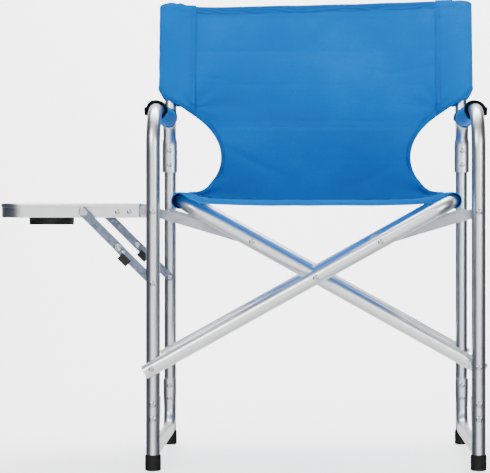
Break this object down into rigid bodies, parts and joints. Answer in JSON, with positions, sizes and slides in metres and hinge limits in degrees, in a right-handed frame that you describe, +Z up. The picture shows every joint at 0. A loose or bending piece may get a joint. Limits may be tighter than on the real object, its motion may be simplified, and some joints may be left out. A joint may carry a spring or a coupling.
{
  "type": "folding director chair",
  "caption": "Folding aluminium director's chair with a blue fabric seat and back, padded arms, black feet and a fold-down side table with a cup holder.",
  "frame": {"origin": "bottom centre of the bounding box of the open chair with its side table up, on the floor", "axes": "+Z up; +Y from the front of the seat to the back; +X from the side table across the seat to the other arm"},
  "size_m": [0.8452, 0.484, 0.8451],
  "materials": {
    "aluminium_tube": "satin anodised tube",
    "aluminium_rim": "satin extrusion",
    "galvanised_steel": "bright zinc plate",
    "blue_fabric": "woven polyester, plain weave",
    "padded_fabric": "woven polyester over foam",
    "black_rubber": "matte",
    "black_plastic": "matte moulded",
    "grey_board": "smooth laminate face"
  },
  "bodies": {
    "left_frame": {"left_leg_arm_tube": "aluminium_tube", "left_rear_post": "aluminium_tube", "left_bottom_rail": "aluminium_tube", "left_front_foot": "black_rubber", "left_rear_foot": "black_rubber", "left_arm_pad": "padded_fabric", "left_front_cross_pivot": "galvanised_steel", "left_rear_cross_pivot": "galvanised_steel", "left_front_hinge_bolt": "galvanised_steel", "left_rear_hinge_bolt": "galvanised_steel", "left_arm_rivet_upper": "galvanised_steel", "left_arm_rivet_lower": "galvanised_steel", "left_front_rail_rivet_upper": "galvanised_steel", "left_front_rail_rivet_lower": "galvanised_steel", "left_front_brace_pivot": "galvanised_steel", "left_rear_brace_pivot": "galvanised_steel", "back_panel": "blue_fabric"},
    "frame_a": {"cross_frame_a": "aluminium_tube", "front_centre_pivot": "galvanised_steel", "rear_centre_pivot": "galvanised_steel", "right_front_link_pin": "galvanised_steel", "right_rear_link_pin": "galvanised_steel"},
    "frame_b": {"cross_frame_b": "aluminium_tube", "left_front_link_pin": "galvanised_steel", "left_rear_link_pin": "galvanised_steel"},
    "right_frame": {"right_leg_arm_tube": "aluminium_tube", "right_rear_post": "aluminium_tube", "right_bottom_rail": "aluminium_tube", "right_front_foot": "black_rubber", "right_rear_foot": "black_rubber", "right_arm_pad": "padded_fabric", "right_front_cross_pivot": "galvanised_steel", "right_rear_cross_pivot": "galvanised_steel", "right_front_hinge_bolt": "galvanised_steel", "right_rear_hinge_bolt": "galvanised_steel", "right_arm_rivet_upper": "galvanised_steel", "right_arm_rivet_lower": "galvanised_steel", "right_front_rail_rivet_upper": "galvanised_steel", "right_front_rail_rivet_lower": "galvanised_steel"},
    "left_links": {"left_front_link": "galvanised_steel", "left_rear_link": "galvanised_steel"},
    "right_links": {"right_front_link": "galvanised_steel", "right_rear_link": "galvanised_steel"},
    "seat": {"seat_sling": "blue_fabric"},
    "table": {"table_rim": "aluminium_rim", "table_top": "grey_board", "cup_holder": "black_plastic", "front_table_bracket": "galvanised_steel", "rear_table_bracket": "galvanised_steel", "front_table_brace_pivot": "galvanised_steel", "rear_table_brace_pivot": "galvanised_steel"},
    "upper_braces": {"front_upper_brace": "galvanised_steel", "rear_upper_brace": "galvanised_steel", "rear_knee_rivet": "galvanised_steel"},
    "lower_braces": {"front_lower_brace": "galvanised_steel", "rear_lower_brace": "galvanised_steel", "front_knee_rivet": "galvanised_steel"},
    "lock_front": {"front_brace_lock": "black_plastic"},
    "lock_rear": {"rear_brace_lock": "black_plastic"}
  },
  "joints": [
    {"name": "fold", "type": "hinge", "parent": "left_frame", "child": "frame_a", "pos_m": [-0.1543, -0.01138, 0.175], "axis": [0, -1, 0], "range_deg": [0, 46.85], "deforming": ["seat_sling", "back_panel"]},
    {"name": "cross", "type": "hinge", "parent": "frame_a", "child": "frame_b", "pos_m": [0.1224, -0.01138, 0.3287], "axis": [0, -1, 0], "range_deg": [-98, 0]},
    {"name": "right_side", "type": "hinge", "parent": "frame_b", "child": "right_frame", "pos_m": [0.39909, -0.01138, 0.175], "axis": [0, -1, 0], "range_deg": [0, 46.95]},
    {"name": "left_links", "type": "hinge", "parent": "left_frame", "child": "left_links", "pos_m": [-0.1543, -0.01138, 0.4395], "axis": [0, -1, 0], "range_deg": [0, 88.2]},
    {"name": "right_links", "type": "hinge", "parent": "right_frame", "child": "right_links", "pos_m": [0.39909, -0.01138, 0.4395], "axis": [0, -1, 0], "range_deg": [-88.2, 0]},
    {"name": "seat_swing", "type": "hinge", "parent": "frame_a", "child": "seat", "pos_m": [0.3564, -0.01138, 0.4587], "axis": [0, -1, 0], "range_deg": [-49, 0]},
    {"name": "table_fold", "type": "hinge", "parent": "left_frame", "child": "table", "pos_m": [-0.1543, -0.01138, 0.4395], "axis": [0, -1, 0], "range_deg": [0, 90]},
    {"name": "lower_brace_fold", "type": "hinge", "parent": "left_frame", "child": "lower_braces", "pos_m": [-0.1543, -0.01138, 0.318], "axis": [0, -1, 0], "range_deg": [-45, 0]},
    {"name": "upper_brace_fold", "type": "hinge", "parent": "table", "child": "upper_braces", "pos_m": [-0.27581, -0.01138, 0.4395], "axis": [0, -1, 0], "range_deg": [0, 45]},
    {"name": "front_lock_slide", "type": "slide", "parent": "lower_braces", "child": "lock_front", "axis": [0.7071, 0, -0.7071], "range_m": [0, 0.012]},
    {"name": "rear_lock_slide", "type": "slide", "parent": "lower_braces", "child": "lock_rear", "axis": [0.7071, 0, -0.7071], "range_m": [0, 0.012]}
  ],
  "couplings": [
    {"joint": "cross", "follows": "fold", "ratio": -2.0896},
    {"joint": "right_side", "follows": "fold", "ratio": 1},
    {"joint": "left_links", "follows": "fold", "ratio": 1.8796},
    {"joint": "right_links", "follows": "fold", "ratio": -1.8796},
    {"joint": "seat_swing", "follows": "fold", "ratio": -1.0448},
    {"joint": "lower_brace_fold", "follows": "table_fold", "ratio": -0.5},
    {"joint": "upper_brace_fold", "follows": "table_fold", "ratio": 0.5}
  ]
}
